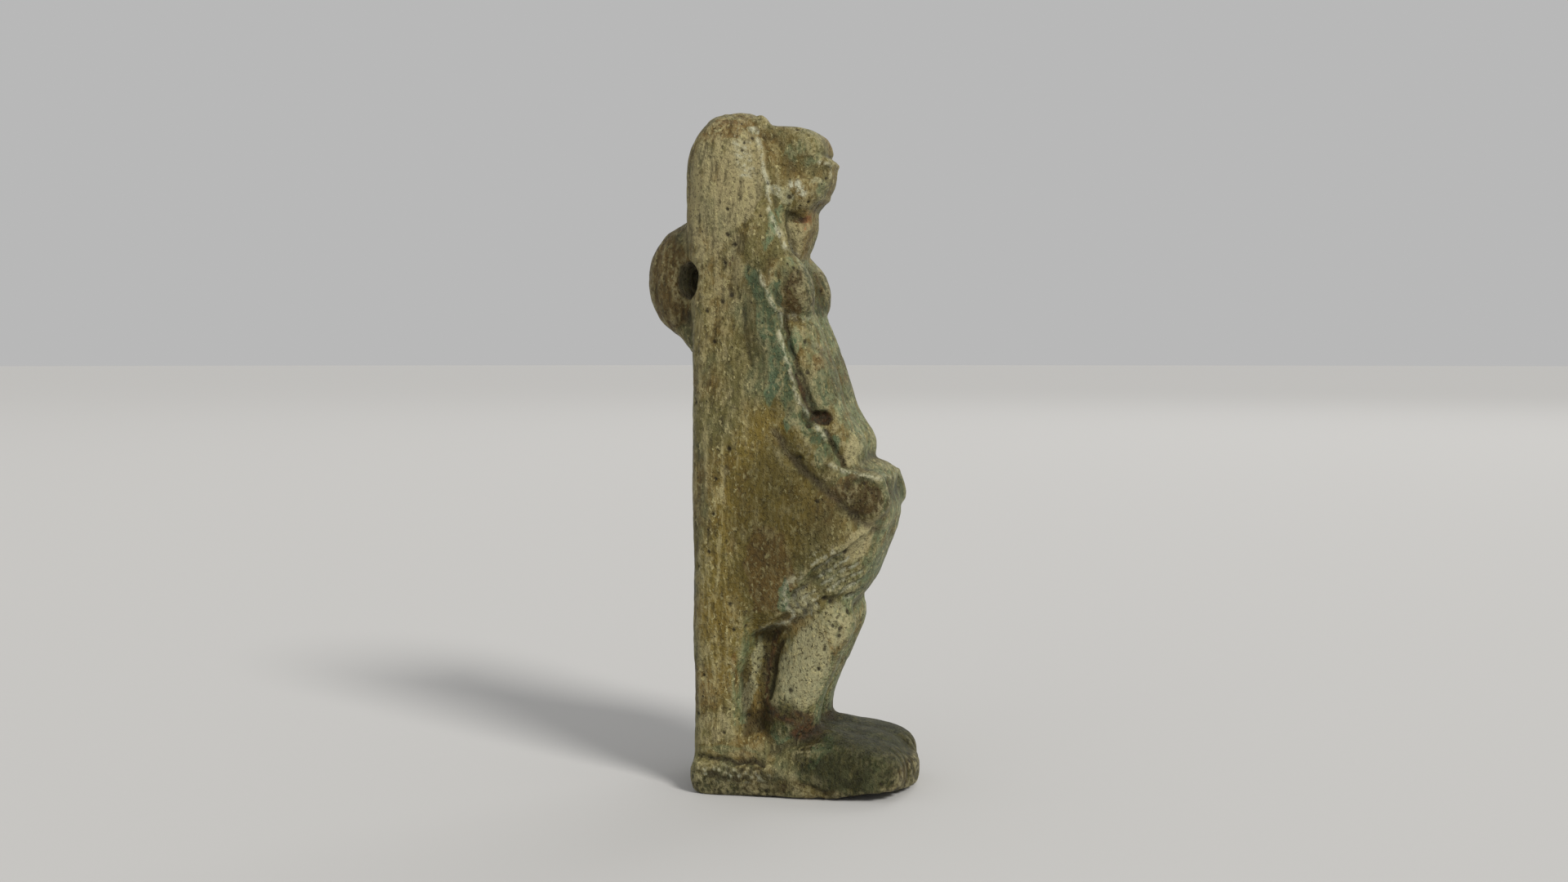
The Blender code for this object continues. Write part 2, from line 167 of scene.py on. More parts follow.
studio = bpy.data.worlds.new("studio")
studio.use_nodes = True
surround = studio.node_tree.nodes["Background"]
surround.inputs["Color"].default_value = (*WHITE, 1.0)
surround.inputs["Strength"].default_value = SURROUND_STRENGTH
scene.world = studio
scene.view_settings.view_transform = "Standard"

# %% [markdown]
# ## A finer skin
#
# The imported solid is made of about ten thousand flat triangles. To carry pits a third of a
# millimetre across, the surface is rebuilt as an even grid by a voxel remesh. Before that the
# triangles are welded at their corners, and one round of subdivision rounds their edges. A sculptor
# would do the same before working on details, because brushes need evenly sized faces.

# %% Rebuild the surface
MILLIMETRE = 0.001
SKIN_GRID = 0.22
SOFTEN_ROUNDS = 4

skin_maker = bpy.data.objects.new("skin_maker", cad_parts["figurine"].data.copy())
scene.collection.objects.link(skin_maker)
weld = skin_maker.modifiers.new("weld", "WELD")
weld.merge_threshold = 0.001 * MILLIMETRE
rounder = skin_maker.modifiers.new("rounder", "SUBSURF")
rounder.levels = 1
rounder.render_levels = 1
regrid = skin_maker.modifiers.new("regrid", "REMESH")
regrid.mode = "VOXEL"
regrid.voxel_size = SKIN_GRID * MILLIMETRE
soften = skin_maker.modifiers.new("soften", "SMOOTH")
soften.factor = 0.5
soften.iterations = SOFTEN_ROUNDS
graph = bpy.context.evaluated_depsgraph_get()
skin_mesh = bpy.data.meshes.new_from_object(skin_maker.evaluated_get(graph))
bpy.data.objects.remove(skin_maker)
skin = bpy.data.objects.new("faience_skin", skin_mesh)
scene.collection.objects.link(skin)
print("points", len(skin_mesh.vertices), "faces", len(skin_mesh.polygons))

# %% [markdown]
# ## Working in millimetres, seen from the side
#
# All the carving is placed by three numbers: millimetres to the figure's left, millimetres forward,
# and millimetres above the top of the base. Forward and up are what the photograph shows, so a line
# drawn on the photograph can be carved into both sides of the figure. Points are moved along their
# normals, as a sculpting brush does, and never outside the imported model's box.

# %% Read and move the points of the skin
BASE_THICKNESS = 3.0
MIRRORED = np.array([1.0, -1.0, 1.0])


def read_skin():
    """Points as (side, forward, up) in millimetres, and their normals the same way round."""
    count = len(skin_mesh.vertices)
    co = np.empty(count * 3, np.float32)
    normal = np.empty(count * 3, np.float32)
    skin_mesh.vertices.foreach_get("co", co)
    skin_mesh.vertices.foreach_get("normal", normal)
    points = co.reshape(-1, 3).astype(float) / MILLIMETRE * MIRRORED
    points[:, 2] -= BASE_THICKNESS
    return points, normal.reshape(-1, 3).astype(float) * MIRRORED


def press(depth):
    """Moves each point inwards along its normal by a depth in millimetres."""
    points, normals = read_skin()
    points = points - normals * depth[:, None]
    points[:, 2] += BASE_THICKNESS
    co = np.clip(points * MIRRORED * MILLIMETRE, np.array(low), np.array(high))
    skin_mesh.vertices.foreach_set("co", co.astype(np.float32).ravel())
    skin_mesh.update()


points, normals = read_skin()
print("reach in mm", points.min(0).round(2), points.max(0).round(2))

# %% [markdown]
# ## Brushes
#
# Small helpers stand in for a sculptor's brushes. A stroke fades to both sides of a line, a blob is
# a soft leaning oval, and grain is smooth noise. The last one says how much a point faces sideways,
# so that strokes drawn in the side view don't cut through to the front or back.


# %% Make the brushes
def line_distance(seen, line):
    """Distance in the side view from each point to a line through (forward, up) stations."""
    stations = np.array(line, float)
    nearest = np.full(len(seen), np.inf)
    for a, b in zip(stations, stations[1:]):
        run = b - a
        t = np.clip(((seen - a) @ run) / (run @ run), 0, 1)
        nearest = np.minimum(nearest, np.linalg.norm(seen - a - t[:, None] * run, axis=1))
    return nearest


def stroke(seen, line, half_width):
    """1 on the line, fading to 0 on both sides of it."""
    return np.exp(-((line_distance(seen, line) / half_width) ** 2))


def blob(seen, forward, up, half_long, half_high, lean=0.0):
    """1 in the middle of an oval and 0 outside it. The oval's top leans forward by lean degrees."""
    turn = radians(lean)
    run = seen - np.array([forward, up])
    across = run[:, 0] * cos(turn) - run[:, 1] * sin(turn)
    along = run[:, 0] * sin(turn) + run[:, 1] * cos(turn)
    reach = np.sqrt((across / half_long) ** 2 + (along / half_high) ** 2)
    inside = np.clip((1.25 - reach) / 0.5, 0, 1)
    return inside * inside * (3 - 2 * inside)


def grain(points, size, seed=0.0, stretch=(1.0, 1.0, 1.0)):
    """Smooth noise from -1 to 1, with lumps of about the size given in millimetres."""
    scaled = points / (size * np.array(stretch)) + seed
    return np.array([noise.noise(p) for p in scaled])


def wobble(points, size, *seeds):
    """Noise for forward and for up, which shakes what is drawn in the side view."""
    return np.stack([grain(points, size, seed) for seed in seeds], axis=1)


def facing_side(points, normals):
    """1 where the skin faces left or right, away from the middle of the figure."""
    return np.clip(np.abs(normals[:, 0]) * 1.7, 0, 1) * (np.abs(points[:, 0]) > 1.2)


sideways = facing_side(points, normals)
print("share of the skin that faces sideways", round(sideways.mean(), 2))

# %% [markdown]
# ## Rubbing tools
#
# One more helper averages each point with its neighbours, as a smoothing brush does. Another says
# how far each point lies under a smoothed copy of the skin, which finds bulges and hollows without
# anyone having to mark them.

# %% Make the rubbing tools
edges = np.empty(len(skin_mesh.edges) * 2, np.int32)
skin_mesh.edges.foreach_get("vertices", edges)
starts, ends = edges.reshape(-1, 2).T
degree = np.bincount(starts, minlength=len(points)) + np.bincount(ends, minlength=len(points))


def relax(values, rounds):
    """Averages each point's value with its neighbours', again and again."""
    for _ in range(rounds):
        total = np.bincount(starts, values[ends], len(values))
        total += np.bincount(ends, values[starts], len(values))
        values = 0.5 * values + 0.5 * total / degree
    return values


def under_smooth_copy(rounds):
    """How far in millimetres each point lies under a smoothed copy of the skin."""
    points, normals = read_skin()
    smooth = np.stack([relax(points[:, k], rounds) for k in range(3)], axis=1)
    return ((smooth - points) * normals).sum(axis=1)


print("neighbours of a point", degree.min(), "to", degree.max())

# %% [markdown]
# ## Rubbing the bulges flat
#
# The hand was worn by handling until it was almost flat, and dirt has half filled the gap between
# arm and breast and the hollow under the brow. Moving each of their points part of the way towards
# the smoothed copy wears the high places down and fills the low ones, as rubbing and dirt do.

# %% Rub the hand and fill the gaps
RUBBING_ROUNDS = 180
HAND_SHARE, GAP_SHARE, BROW_SHARE = 0.60, 0.60, 0.55

seen = points[:, 1:3]
rubbed = np.maximum.reduce([
    HAND_SHARE * blob(seen, 5.2, 23.3, 3.0, 2.6),
    GAP_SHARE * blob(seen, 0.2, 33.8, 0.9, 4.6, lean=20),
    BROW_SHARE * blob(seen, 0.2, 51.9, 2.2, 0.9),
])
rubbed_depth = -under_smooth_copy(RUBBING_ROUNDS) * rubbed * sideways
press(rubbed_depth)
print("worn down by up to", round(rubbed_depth.max(), 2), "mm")

# %% [markdown]
# ## The end of the snout
#
# The snout ends in a small flat face with a sharp rim, and a notch parts it from the brow. Both run
# round the front, so they are placed by height, and only where the skin faces forward or sideways
# near the tip.

# %% Sharpen the snout
NOTCH_UP, RIM_UP, SNOUT_FOOT_UP = 53.1, 52.3, 49.3
NOTCH_DEPTH, RIM_HEIGHT, FACE_DEPTH = 0.28, 0.13, 0.14

points, normals = read_skin()


def ring(up, half_height):
    """A stroke that runs round the figure at one height."""
    return np.exp(-(((points[:, 2] - up) / half_height) ** 2))


near_tip = np.clip((points[:, 1] - 0.6) / 0.9, 0, 1) * (normals[:, 2] > -0.8)
rim = ring(RIM_UP, 0.26) + 0.6 * ring(SNOUT_FOOT_UP, 0.26)
between = np.clip((RIM_UP - points[:, 2]) / 0.4, 0, 1)
between *= np.clip((points[:, 2] - SNOUT_FOOT_UP) / 0.4, 0, 1)
tip_depth = NOTCH_DEPTH * ring(NOTCH_UP, 0.28) - RIM_HEIGHT * rim + FACE_DEPTH * between
tip_depth *= near_tip
press(tip_depth)
points, normals = read_skin()
sideways = facing_side(points, normals)
print("notch depth in mm", round(tip_depth.max(), 2))

# %% [markdown]
# ## Lines of the head and shoulder
#
# The mould-maker drew the figure with a few lines. Here each is a list of (forward, up) stations,
# because numbers are easy to read off a photograph and easy to move. The wig's front edge runs down
# into a band beside the lappet, the flap of hair over the shoulder. The mouth is a short slit, and
# the snout's flat face has an edge of its own.

# %% Lay out the lines of the head
WIG_EDGE = [
    (-3.9, 54.3), (-3.6, 53.1), (-3.3, 51.5), (-2.9, 49.9),
    (-2.6, 48.0), (-2.1, 46.6), (-1.3, 44.8),
]
WIG_BAND = [(-1.3, 44.8), (-0.3, 43.9), (0.7, 42.6), (1.3, 41.0), (1.2, 39.5)]
LAPPET_FOOT = [(-1.9, 39.6), (-1.0, 38.9), (0.2, 38.5), (1.2, 39.0), (1.5, 40.0)]
LAPPET_BACK = [(-1.7, 42.6), (-1.9, 41.2), (-1.6, 39.9)]
MOUTH = [(-1.3, 47.6), (-0.3, 47.4), (0.9, 47.2)]
SNOUT_EDGE = [(1.9, 52.4), (2.2, 51.0), (1.9, 49.6)]
print("the wig's edge has", len(WIG_EDGE), "stations")

# %% [markdown]
# ## Lines of the arm, breast and hand
#
# The arm's front edge is a thin ridge. A gap parts it from the breast and ends in a crack above the
# hand, and a finer crack runs down behind the shoulder. A shallow valley follows the underside of
# the forearm, and two short lines frame the hand.

# %% Lay out the lines of the arm
ARM_RIDGE = [
    (-3.4, 42.6), (-2.4, 40.6), (-1.6, 39.0), (-1.4, 36.6),
    (-0.5, 33.9), (0.0, 31.9), (0.9, 30.4), (2.5, 28.4),
]
ARM_GAP = [(-1.3, 39.2), (-1.0, 37.1), (-0.4, 35.4), (0.4, 33.6), (0.8, 32.2), (1.4, 31.0)]
ARM_BACK_CRACK = [(-5.8, 44.0), (-5.6, 42.3), (-4.8, 39.5), (-4.4, 36.7), (-3.8, 34.6)]
FOREARM_VALLEY = [(-1.9, 29.0), (-0.9, 27.3), (0.9, 25.5), (2.7, 24.0), (4.4, 22.3), (6.3, 20.5)]
LOWER_CRACK = [(2.3, 29.0), (3.0, 28.0), (3.7, 26.6), (3.9, 26.1)]
BREAST_EDGE = [(0.9, 36.6), (2.5, 35.4), (3.1, 33.0), (3.8, 30.9), (5.7, 27.6), (7.4, 25.2)]
HAND_TOP = [(3.0, 26.1), (4.2, 25.5), (6.1, 25.2), (7.8, 24.9)]
HAND_FRONT = [(7.3, 24.4), (7.8, 23.4), (7.5, 21.8), (6.5, 20.5)]
print("the arm's ridge has", len(ARM_RIDGE), "stations")

# %% [markdown]
# ## Lines of the skirt, leg and base
#
# The skirt's edge comes down from the belly and turns back behind the knee. Below it are the hem,
# the line behind the leg and the edge over the ankle. The base has a groove along its top at the
# back and a ledge above the broken corner.

# %% Lay out the lines of the leg
SKIRT_EDGE = [
    (7.0, 20.8), (3.9, 18.9), (1.6, 17.5), (0.3, 16.6), (-1.0, 15.7), (-1.2, 14.0), (-0.6, 12.8),
]
SKIRT_CORNER = [(-0.6, 12.8), (-1.0, 12.2), (-2.7, 11.8), (-3.6, 11.4)]
HEM = [(-0.6, 12.2), (0.5, 13.4), (1.3, 13.9), (2.5, 14.5), (4.4, 14.7)]
LEG_BACK = [(-1.7, 10.4), (-2.3, 9.6), (-2.5, 7.4), (-2.8, 5.5)]
ANKLE_EDGE = [(1.7, 4.2), (3.1, 3.4), (3.9, 3.0)]
BASE_GROOVE = [(-9.0, 0.3), (-6.8, 0.2), (-5.6, 0.0), (-3.8, 0.1), (-2.9, -0.2)]
BASE_LEDGE = [(0.3, -1.6), (1.5, -1.7), (2.1, -2.1), (2.7, -2.6)]
print("the skirt's edge has", len(SKIRT_EDGE), "stations")

# %% [markdown]
# ## Carving the lines
#
# Each line gets a half width and a depth. The edges of wig, lappet and arm are raised as rolls, and
# the gaps are cut in. All are pressed in at once, so that crossing lines blend as in soft paste.
# Hand-cut lines are never quite straight, so noise shakes the side view a little first.

# %% Carve the lines
# line, half width, depth (a negative depth is raised)
CARVED_LINES = [
    (WIG_EDGE, 0.24, -0.22),
    (WIG_BAND, 0.22, -0.12),
    (LAPPET_FOOT, 0.22, -0.16),
    (LAPPET_BACK, 0.28, 0.20),
    (ARM_RIDGE, 0.26, -0.20),
    (ARM_GAP, 0.20, 0.22),
    (ARM_BACK_CRACK, 0.16, 0.07),
    (FOREARM_VALLEY, 0.55, 0.22),
    (LOWER_CRACK, 0.18, 0.35),
    (BREAST_EDGE, 0.22, 0.24),
    (HAND_TOP, 0.20, -0.18),
    (HAND_FRONT, 0.24, 0.22),
    (SKIRT_EDGE, 0.26, -0.08),
    (SKIRT_CORNER, 0.24, -0.12),
    (HEM, 0.22, 0.16),
    (LEG_BACK, 0.22, 0.25),
    (ANKLE_EDGE, 0.22, -0.12),
    (MOUTH, 0.26, 0.20),
    (SNOUT_EDGE, 0.20, -0.14),
    (BASE_LEDGE, 0.20, 0.20),
]
SHAKE = 0.16

shake = SHAKE * wobble(points, 0.9, 3.0, 9.0)
seen = points[:, 1:3] + shake
depth = np.zeros(len(points))
for line, half_width, deep in CARVED_LINES:
    depth += deep * stroke(seen, line, half_width)
press(depth * sideways)
print("carved", len(CARVED_LINES), "lines, deepest", round(depth.max(), 2), "mm")

# %% [markdown]
# ## Hair lines
#
# The wig and the slab of hair down the back were combed with fine upright lines, now nearly worn
# away. Noise stretched along the height gives lines of uneven strength, which look worn as evenly
# spaced grooves never do. The front of the wig has a few slanting scratches as well.

# %% Comb the hair
HAIR_LINE_DEPTH = 0.10
HAIR_LINE_SPACING = 0.8
SCRATCH_COUNT = 7
SCRATCH_HALF_WIDTH = 0.12
SCRATCH_DEPTH = 0.08

front_of_hair = -5.0 + 1.6 * np.clip((points[:, 2] - 36) / 8, 0, 1)
hair = np.clip((front_of_hair - points[:, 1]) / 1.6, 0, 1)
hair *= np.clip((points[:, 2] - 1.5) / 3.0, 0, 1)
lines = grain(points, HAIR_LINE_SPACING, 21.0, stretch=(1.0, 1.0, 9.0))
broad = grain(points, HAIR_LINE_SPACING * 2.6, 5.0, stretch=(1.0, 1.0, 7.0))
depth = hair * HAIR_LINE_DEPTH * (lines + 0.9 * broad)
scratches = np.zeros(len(points))
for k in range(SCRATCH_COUNT):
    start = (-5.9 + 0.12 * k, 54.4 - 0.55 * k)
    end = (start[0] + 1.3, start[1] - 0.5)
    scratches = np.maximum(scratches, stroke(seen, [start, end], SCRATCH_HALF_WIDTH))
press(depth + SCRATCH_DEPTH * scratches * sideways)
print("combed share of the skin", round(hair.mean(), 2))

# %% [markdown]
# ## Worn skin and folds
#
# Burial and handling leave a slow waviness all over, and a fine roughness where the glaze has gone,
# as on the leg, the thigh and in the recess behind the leg. Around the thigh the wet paste was
# dragged into small folds beside the edge of the skirt. They follow that edge, so they are waves
# counted off by the distance from it.

# %% Roughen the worn places
FOLD_SPACING = 0.75
FOLD_DEPTH = 0.09
WAVE_DEPTH = 0.09
FINE_DEPTH, FINE_DEPTH_IF_ROUGH = 0.035, 0.045

leg = np.maximum(blob(seen, 0.6, 8.0, 2.9, 4.4, lean=12), blob(seen, 2.4, 12.2, 2.2, 2.0))
thigh = blob(seen, 3.6, 16.6, 3.4, 1.9, lean=50)
thigh = np.maximum(thigh, blob(seen, 0.4, 14.2, 1.6, 1.7, lean=20))
recess = blob(seen, -3.9, 7.2, 1.1, 4.8, lean=8)
rough = np.clip(leg + thigh + recess, 0, 1) * sideways
fold_distance = line_distance(seen + 0.5 * shake, SKIRT_EDGE + SKIRT_CORNER[1:])
folds = np.sin(fold_distance * 2 * pi / FOLD_SPACING + 1.5 * grain(points, 1.4, 2.0))
slow = grain(points, 2.6, 1.0)
fine = grain(points, 0.6, 7.0)
depth = WAVE_DEPTH * slow + (FINE_DEPTH + FINE_DEPTH_IF_ROUGH * rough) * fine
depth += FOLD_DEPTH * folds * thigh * sideways
press(depth)
print("rough share of the skin", round(rough.mean(), 2))

# %% [markdown]
# ## The hand and the pit beside it
#
# The hand is a flat triangle with a shallow dent, and the arm's gap ends in a pit that holds
# red-brown dirt. Both are single soft ovals, pressed in. The pit's outline is shaken by noise and
# its floor stays lumpy, because dirt is what fills it.

# %% Press the dent and the pit
DIRT_PIT = (1.9, 30.1)
PIT_TAIL = [(-0.3, 33.9), (0.3, 32.4), (0.6, 31.2), (1.3, 30.5)]
DENT_DEPTH, PIT_DEPTH, TAIL_DEPTH, LUMP_DEPTH = 0.14, 0.40, 0.08, 0.09

dent = blob(seen, 6.0, 23.2, 1.7, 1.0, lean=-60)
uneven = seen + 0.35 * wobble(points, 0.7, 80.0, 90.0)
pit = blob(uneven, DIRT_PIT[0], DIRT_PIT[1], 0.85, 0.70, lean=20)
tail = stroke(uneven, PIT_TAIL, 0.30)
lumps = grain(points, 0.45, 12.0)
depth = DENT_DEPTH * dent + PIT_DEPTH * pit + TAIL_DEPTH * tail + LUMP_DEPTH * lumps * pit
press(depth * sideways)
print("points in the pit", int((pit > 0.5).sum()))

# %% [markdown]
# ## The toes
#
# The solid has each toe as a roll. Short grooves part them at the front of each foot, and notches
# mark them on its outer side, each only where the skin faces that way. They are pressed in with the
# marks of the base, in the next step.

# %% Part the toes
TOE_GROOVES = (1.75, 2.95, 4.15)
TOE_NOTCHES = (1.6, 0.7, 0.0, -0.6)
TOE_GROOVE_DEPTH, TOE_NOTCH_DEPTH = 0.12, 0.15

facing_front = np.clip(normals[:, 1] * 1.6, 0, 1) * np.clip((points[:, 1] - 7.2) / 1.0, 0, 1)
toe_height = np.clip((points[:, 2] + 1.9) / 0.8, 0, 1)
toe_height *= np.clip((2.4 - points[:, 2]) / 0.8, 0, 1)
depth = np.zeros(len(points))
for side in TOE_GROOVES:
    depth += TOE_GROOVE_DEPTH * np.exp(-(((np.abs(points[:, 0]) - side) / 0.20) ** 2))
depth *= facing_front * toe_height
toe_marks = np.zeros(len(points))
for up in TOE_NOTCHES:
    toe_marks = np.maximum(toe_marks, stroke(seen, [(8.0, up), (8.6, up + 0.1)], 0.14))
outer_side = sideways * np.clip((np.abs(points[:, 0]) - 4.6) / 0.8, 0, 1)
toe_marks *= outer_side
depth += TOE_NOTCH_DEPTH * toe_marks
print("toe grooves and notches reach", round(depth.max(), 2), "mm")

# %% [markdown]
# ## The broken base
#
# The base has a jagged groove along its top at the back and a granular band under it, where coarse
# paste never melted. Cell noise makes that band: each cell's middle stands up as a grain, and the
# seams between cells sink. The broken corner under the right toes is in the solid already, and only
# gets an uneven surface here.

# %% Break the base
GRAIN_SIZE = 0.5
BASE_GROOVE_DEPTH = 0.30
SEAM_DEPTH, GRAIN_HEIGHT = 0.30, 0.06
CHIP_DEPTH = 0.22

jagged = seen + 0.22 * wobble(points, 0.45, 50.0, 60.0)
groove = stroke(jagged, BASE_GROOVE, 0.17) * sideways
depth += BASE_GROOVE_DEPTH * groove
granular = blob(seen, -5.7, -0.85, 3.4, 0.75) * sideways
cells = np.zeros(len(points))
for k in np.flatnonzero(granular > 0.02):
    cells[k] = noise.voronoi(Vector(points[k] / GRAIN_SIZE))[0][0]
depth += granular * (SEAM_DEPTH * cells - GRAIN_HEIGHT)
chipped = np.clip((points[:, 1] - 0.2) / 1.5, 0, 1) * (points[:, 0] < 0)
chipped *= np.clip((-1.2 - points[:, 2]) / 0.8, 0, 1)
depth += CHIP_DEPTH * chipped * np.abs(grain(points, 1.1, 44.0))
press(depth)
print("granular share", round(granular.mean(), 3))

# %% [markdown]
# ## Pinholes
#
# Gas escaping from the glaze leaves round pinholes. The largest are placed where the photograph
# shows them, and the rest are scattered at random with a fixed seed. Each is a small bowl: every
# point near its middle is pushed in, most at the middle. The same bowls are kept as a mask, so that
# the glaze can darken them later.

# %% Scatter the pinholes
# forward, up, radius
LARGE_PINHOLES = [
    (-5.7, 45.1, 0.22), (-6.3, 45.9, 0.22), (-6.0, 40.9, 0.24), (-6.4, 40.2, 0.20),
    (-8.0, 39.4, 0.18), (-7.5, 36.8, 0.15), (-6.1, 27.3, 0.20), (-8.0, 18.4, 0.18),
    (-7.2, 21.8, 0.16), (-5.7, 11.4, 0.16), (-1.1, 49.1, 0.26), (0.7, 36.7, 0.22),
    (0.9, 34.1, 0.24), (2.0, 23.1, 0.20), (4.2, 18.4, 0.24), (4.2, 13.3, 0.28),
    (2.3, 14.3, 0.22), (2.8, 14.3, 0.20), (3.1, 12.2, 0.15), (3.7, 11.8, 0.20),
    (3.6, 11.1, 0.20), (2.4, 10.0, 0.16), (1.9, 8.3, 0.20), (-0.8, 6.4, 0.30),
]
SMALL_PINHOLES = 90
PINHOLE_DEPTH = 0.20
PINHOLE_SLOPE = 0.25
SEARCH_RADIUS = 0.25
SEED = 17
chooser = np.random.default_rng(SEED)

points, normals = read_skin()
tree = kdtree.KDTree(len(points))
for k, point in enumerate(points):
    tree.insert(point, k)
tree.balance()
bowls = []
for forward, up, radius in LARGE_PINHOLES:
    near = np.linalg.norm(points[:, 1:3] - (forward, up), axis=1) < SEARCH_RADIUS
    for side in (-1, 1):
        here = np.flatnonzero(near & (points[:, 0] * side > 1.0))
        if len(here):
            bowls.append((here[np.abs(points[here, 0]).argmax()], radius))
for k in chooser.choice(len(points), SMALL_PINHOLES, replace=False):
    bowls.append((k, chooser.uniform(0.08, 0.15)))
pinholes = np.zeros(len(points))
for k, radius in bowls:
    reach = radius + PINHOLE_SLOPE
    for _, touched, distance in tree.find_range(Vector(points[k]), reach):
        pinholes[touched] = max(pinholes[touched], 1 - distance / reach)
press(PINHOLE_DEPTH * pinholes)
print("pinholes", len(bowls))

# %% [markdown]
# ## Where the skin is hollow or raised
#
# Glaze runs thin on edges, so the colour needs to know where the skin is raised, and hollows are
# darkened with painted shade, so it needs to know where the skin is hollow too. The skin is
# compared with a smoothed copy of itself: where the copy lies outside, the skin is hollow. It is
# done twice, with a little and with much smoothing, to catch both scratches and valleys.

# %% Compare the skin with a smoothed copy
SCRATCH_ROUNDS, VALLEY_ROUNDS = 8, 70

points, normals = read_skin()
small = under_smooth_copy(SCRATCH_ROUNDS)
large = under_smooth_copy(VALLEY_ROUNDS)
hollow_shade = relax(np.clip(small / 0.05, 0, 1) * 0.55 + np.clip(large / 0.30, 0, 1) * 0.75, 2)
raised = relax(np.clip(-small / 0.04, 0, 1) * 0.6 + np.clip(-large / 0.30, 0, 1) * 0.45, 3)
print("hollow_shade", round(hollow_shade.mean(), 3), "raised", round(raised.mean(), 3))

# %% [markdown]
# ## Where the glaze is rubbed pale
#
# The glaze isn't one colour. Where it stood proud it is rubbed to beige, as on the wig and breast,
# and where it has gone, as on the leg, the white core shows. Each patch is a soft leaning oval in
# the side view, because worn places have no sharp outline.

# %% Lay out the pale and white patches
# forward, up, half length, half height, lean, strength
PALE_PATCHES = [
    (-5.2, 50.6, 2.0, 4.2, 8, 1.0),
    (-7.8, 49.0, 2.6, 6.0, 0, 0.6),
    (-6.0, 43.0, 1.6, 4.0, 0, 0.5),
    (-0.6, 45.9, 1.2, 1.6, 0, 0.6),
    (1.2, 33.0, 1.2, 4.2, 22, 0.45),
    (5.2, 27.2, 1.6, 1.6, 40, 0.7),
    (5.4, 19.6, 2.2, 0.9, -60, 0.8),
    (-1.0, 21.5, 1.6, 1.2, 0, 0.35),
    (-8.0, 2.7, 2.2, 1.5, -25, 0.5),
    (-4.6, 0.6, 2.0, 0.7, 0, 0.4),
    (-6.4, 30.0, 0.6, 9.0, 0, 0.35),
]
WHITE_PATCHES = [
    (0.4, 8.2, 2.2, 3.8, 14, 0.9),
    (2.6, 12.0, 1.8, 1.9, 0, 0.6),
    (0.2, 14.0, 1.2, 1.5, 25, 0.7),
    (3.4, 16.4, 2.4, 1.2, 50, 0.45),
    (-4.4, 7.4, 0.5, 3.6, 10, 0.7),
    (-2.3, 49.9, 0.8, 0.5, 0, 1.0),
    (-1.5, 49.4, 0.5, 0.8, 0, 0.8),
    (1.0, 50.8, 0.6, 0.4, 0, 0.7),
    (-4.3, 55.0, 0.35, 0.3, 0, 0.9),
]
print("pale patches", len(PALE_PATCHES), "white patches", len(WHITE_PATCHES))

# %% [markdown]
# ## Where the glaze is teal, brown or dark
#
# Copper shows teal along the arm, on the breast and round the foot. Iron browns the hand, the
# lappet, the loop and part of the flank, which is golden elsewhere. The foot is a dark slate green.
# All are ovals with the same six numbers, so that one helper can gather them.

# %% Lay out the teal, brown and dark patches
TEAL_PATCHES = [
    (-2.4, 39.5, 0.9, 2.8, 10, 0.7),
    (-1.4, 34.6, 0.9, 3.4, 18, 1.0),
    (0.2, 30.6, 0.6, 2.2, 38, 0.8),
    (-2.4, 46.6, 0.6, 2.4, 15, 0.6),
    (0.0, 53.2, 1.9, 1.2, 0, 0.45),
    (1.4, 50.0, 0.5, 1.4, 0, 0.5),
    (2.4, 33.4, 1.3, 4.4, 24, 0.6),
    (-1.2, 14.8, 0.5, 1.6, 0, 0.9),
    (-1.6, 2.5, 1.3, 1.0, 0, 0.7),
    (1.9, 1.2, 0.7, 1.5, 30, 1.0),
    (2.6, 27.4, 0.7, 1.6, 30, 0.6),
    (7.0, 1.0, 1.0, 1.6, 0, 0.4),
]
BROWN_PATCHES = [
    (3.9, 24.1, 1.5, 0.9, -55, 1.0),
    (5.8, 23.2, 1.7, 1.5, -20, 0.8),
    (-2.4, 17.0, 2.2, 4.0, 0, 0.8),
    (-5.0, 22.0, 2.0, 8.0, 0, 0.35),
    (-0.1, 41.0, 1.1, 1.9, 0, 0.9),
    (1.9, 35.4, 0.6, 1.6, 28, 0.8),
    (0.5, 49.6, 0.8, 1.0, 0, 0.5),
    (-6.6, 55.0, 2.4, 1.0, -14, 0.8),
    (-12.4, 41.8, 2.4, 4.2, 0, 0.9),
    (3.5, 10.6, 0.7, 3.0, 24, 0.7),
    (8.8, 0.8, 0.8, 2.0, 0, 0.8),
    (-5.7, 7.4, 0.3, 2.4, 0, 0.7),
    (-0.6, -1.6, 2.0, 0.6, 0, 0.5),
]
FOOT_PATCHES = [
    (5.4, 0.9, 3.6, 3.2, 0, 1.0),
    (2.6, -0.9, 2.6, 1.2, 0, 0.7),
    (-6.4, 0.9, 3.0, 0.35, 0, 0.6),
]
FLANK_PATCHES = [
    (-2.6, 23.0, 4.6, 9.0, 12, 1.0),
    (-5.4, 13.5, 3.6, 8.0, 0, 0.8),
]
print("teal patches", len(TEAL_PATCHES), "brown patches", len(BROWN_PATCHES))
